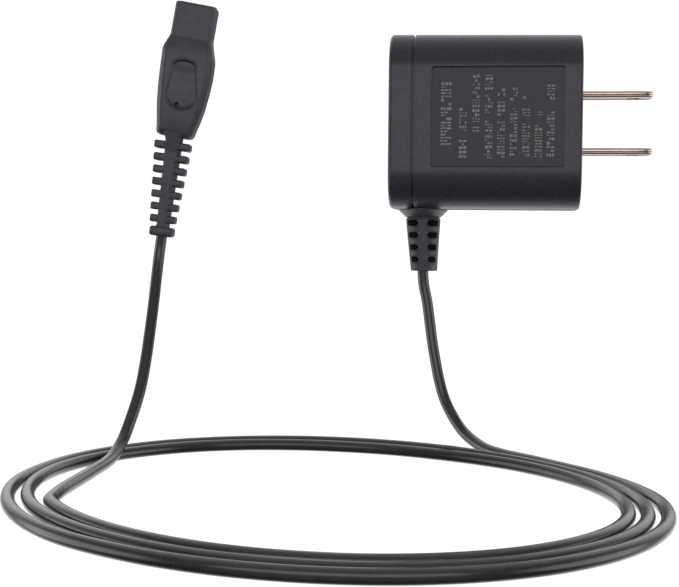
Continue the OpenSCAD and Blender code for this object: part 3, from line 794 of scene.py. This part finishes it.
# Tones that more than one inner piece has
BRASS = (0.66, 0.46, 0.18), (0.78, 0.58, 0.26)
FERRITE = (0.05, 0.05, 0.055), (0.08, 0.08, 0.085)
CHIP = (0.010, 0.010, 0.010), (0.020, 0.020, 0.020)
BLUE_SLEEVE = (0.02, 0.03, 0.07), (0.03, 0.045, 0.10)
RED_SLEEVE = (0.30, 0.02, 0.02), (0.42, 0.04, 0.03)
INNER = {
    "blade_carrier": finish("insulator_ivory", (0.62, 0.60, 0.53), (0.72, 0.70, 0.63), 0.5, 2000),
    "contact_springs": finish("spring_bronze", (0.62, 0.40, 0.20), (0.72, 0.50, 0.28),
                              0.3, 900, 0.004, 1.0),
    "circuit_board": finish("board_green", (0.02, 0.10, 0.04), (0.05, 0.17, 0.07), 0.4, 1500),
    "transformer_core": finish("ferrite_grey", *FERRITE, 0.6, 1800, 0.03),
    "transformer_bobbin": finish("bobbin_black", (0.015, 0.015, 0.016), (0.025, 0.025, 0.027),
                                 0.5, 2000),
    "transformer_winding": finish("winding_yellow", (0.70, 0.48, 0.08), (0.82, 0.60, 0.16),
                                  0.4, 900, 0.01, stretch=(4, 1, 1)),
    "input_capacitors": finish("capacitor_sleeve", *BLUE_SLEEVE, 0.3, 1500),
    "output_capacitor": finish("capacitor_sleeve_2", *BLUE_SLEEVE, 0.3, 1500),
    "bridge_rectifier": finish("chip_black", *CHIP, 0.55, 2500),
    "fusible_resistor": finish("resistor_green", (0.10, 0.26, 0.18), (0.16, 0.34, 0.24),
                               0.45, 1500),
    "input_choke": finish("ferrite_grey_2", *FERRITE, 0.6, 1800, 0.03),
    "controller_ic": finish("chip_black_2", *CHIP, 0.55, 2500),
    "safety_capacitor": finish("ceramic_blue", (0.03, 0.16, 0.50), (0.06, 0.24, 0.62), 0.35, 1500),
    "optocoupler": finish("insulator_ivory_2", (0.72, 0.72, 0.66), (0.84, 0.84, 0.80), 0.5, 2000),
    "output_diode": finish("chip_black_3", *CHIP, 0.55, 2500),
    "chip_resistors": finish("chip_black_4", (0.012, 0.012, 0.014), (0.024, 0.024, 0.026),
                             0.5, 2500),
    "cord_inner_end": LOOKS["cord"],
    "output_leads": finish("lead_sleeve", *RED_SLEEVE, 0.4, 1500),
    "connector_leads": finish("lead_sleeve_2", *RED_SLEEVE, 0.4, 1500),
    "socket_contact_left": finish("contact_brass", *BRASS, 0.28, 900, 0.004, 1.0),
    "socket_contact_right": finish("contact_brass_2", *BRASS, 0.28, 900, 0.004, 1.0),
}
for name, mat in INNER.items():
    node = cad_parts[name]
    node.data.materials.clear()
    node.data.materials.append(mat)


# ---------- floor, backdrop and light ----------

def flat_white(name, glow, albedo):
    """A matt white that glows evenly."""
    mat = bpy.data.materials.new(name)
    mat.use_nodes = True
    shader = mat.node_tree.nodes["Principled BSDF"]
    shader.inputs["Base Color"].default_value = (albedo, albedo, albedo, 1)
    shader.inputs["Roughness"].default_value = 1.0
    shader.inputs["Specular IOR Level"].default_value = 0.0
    shader.inputs["Emission Color"].default_value = (1, 1, 1, 1)
    shader.inputs["Emission Strength"].default_value = glow
    return mat


FLOOR_R, DOME_R, DOME_DROP = 4000, 4200, 30


def disc(radius, z, sides=96):
    """A flat round face."""
    return ([(radius * math.cos(a), radius * math.sin(a), z)
             for a in np.linspace(0, 2 * math.pi, sides, endpoint=False)],
            [tuple(range(sides))])


def dome_mesh():
    """A dome over the floor, starting a little below it, open at its foot."""
    rings = [
        [(DOME_R * math.cos(e) * math.cos(a), DOME_R * math.cos(e) * math.sin(a),
          FLOOR_Z - DOME_DROP + DOME_R * math.sin(e))
         for a in np.linspace(0, 2 * math.pi, 48, endpoint=False)]
        for e in np.radians(np.linspace(0, 88, 12))]
    return loft(rings, ends=(False, True))


floor = make("floor", *disc(FLOOR_R, FLOOR_Z))
dome = make("backdrop", *dome_mesh())
floor.data.materials.append(flat_white("floor_white", 1.0, 0.1))
dome.data.materials.append(flat_white("backdrop_white", 1.1, 0.0))
# Both are seen by the camera only: the light on the object comes from the studio below
for stage_piece in (floor, dome):
    stage_piece.visible_diffuse = False
    stage_piece.visible_glossy = False
    stage_piece.visible_transmission = False
    stage_piece.visible_shadow = False

# The studio around the object, by direction. The angle runs in the upright plane from
# the front (0) over the top (90) to the back (180), and down through the floor (-90).
SKY = [(-180, 0.5), (-166, 1.3), (-146, 1.5), (-126, 1.2), (-112, 0.8), (-100, 0.35),
       (-84, 0.08), (-60, 0.12), (-38, 0.28), (-16, 0.42), (12, 0.42), (34, 0.45), (66, 0.5),
       (90, 0.72), (112, 0.9), (136, 1.15), (156, 1.4), (170, 1.2), (180, 0.5)]
SKY_MAX = max(level for _, level in SKY)
world = bpy.data.worlds.new("studio")
scene.world = world
world.use_nodes = True
nodes, links = world.node_tree.nodes, world.node_tree.links
background = nodes["Background"]
direction = nodes.new("ShaderNodeSeparateXYZ")
links.new(nodes.new("ShaderNodeTexCoord").outputs["Generated"], direction.inputs[0])


def calc(operation, a, b=0.0):
    """A math node on two values, each a number or another node's output."""
    m = nodes.new("ShaderNodeMath")
    m.operation = operation
    for socket, value in zip(m.inputs, (a, b)):
        if isinstance(value, float):
            socket.default_value = value
        else:
            links.new(value, socket)
    return m.outputs[0]


def fade(value, low, high, start, end):
    """From start, where value is low, smoothly to end, where it is high."""
    m = nodes.new("ShaderNodeMapRange")
    m.interpolation_type = "SMOOTHSTEP"
    m.inputs["From Min"].default_value, m.inputs["From Max"].default_value = low, high
    m.inputs["To Min"].default_value, m.inputs["To Max"].default_value = start, end
    links.new(value, m.inputs["Value"])
    return m.outputs["Result"]


to_front = calc("MULTIPLY", direction.outputs["Y"], -1.0)
angle = calc("ARCTAN2", direction.outputs["Z"], to_front)
turn = calc("MULTIPLY_ADD", angle, 1 / (2 * math.pi))
turn.node.inputs[2].default_value = 0.5
level = ramp(nodes, links, turn,
             [((a + 180) / 360, (v / SKY_MAX,) * 3) for a, v in SKY])
# Dimmer toward the sides, a dark card straight behind the object, and a bright strip
# low on either side of it
sideways = fade(calc("ABSOLUTE", direction.outputs["X"]), 0.45, 0.9, 1.0, 0.28)
card = fade(direction.outputs["Y"], 0.94, 0.988, 1.0, 0.08)
strips = calc("MULTIPLY", fade(calc("ABSOLUTE", direction.outputs["X"]), 0.8, 0.95, 0.0, 1.9),
              fade(calc("ABSOLUTE", direction.outputs["Z"]), 0.2, 0.5, 1.0, 0.2))
studio = calc("MULTIPLY", calc("MULTIPLY", level, sideways), calc("MULTIPLY", card, SKY_MAX))
links.new(calc("ADD", studio, strips), background.inputs["Strength"])
STUDIO_TINT, BOX_TINT = (0.985, 0.965, 1.0), (0.99, 0.955, 1.0)
background.inputs["Color"].default_value = (*STUDIO_TINT, 1)


def softbox(name, place, aim, size, radiance):
    """A rectangular light of even brightness, placed and sized in metres."""
    data = bpy.data.lights.new(name, "AREA")
    data.shape, data.size, data.size_y = "RECTANGLE", size[0], size[1]
    data.energy = radiance * math.pi * size[0] * size[1]
    data.color = BOX_TINT
    obj = bpy.data.objects.new(name, data)
    obj.location = Vector(place)
    obj.rotation_euler = (Vector(aim) - Vector(place)).to_track_quat("-Z", "Y").to_euler()
    scene.collection.objects.link(obj)


softbox("front", (-0.05, -0.34, 0.05), (-0.05, 0.0, 0.05), (0.40, 0.17), 1.4)

scene.view_settings.view_transform = "Standard"
scene.view_settings.look = "None"
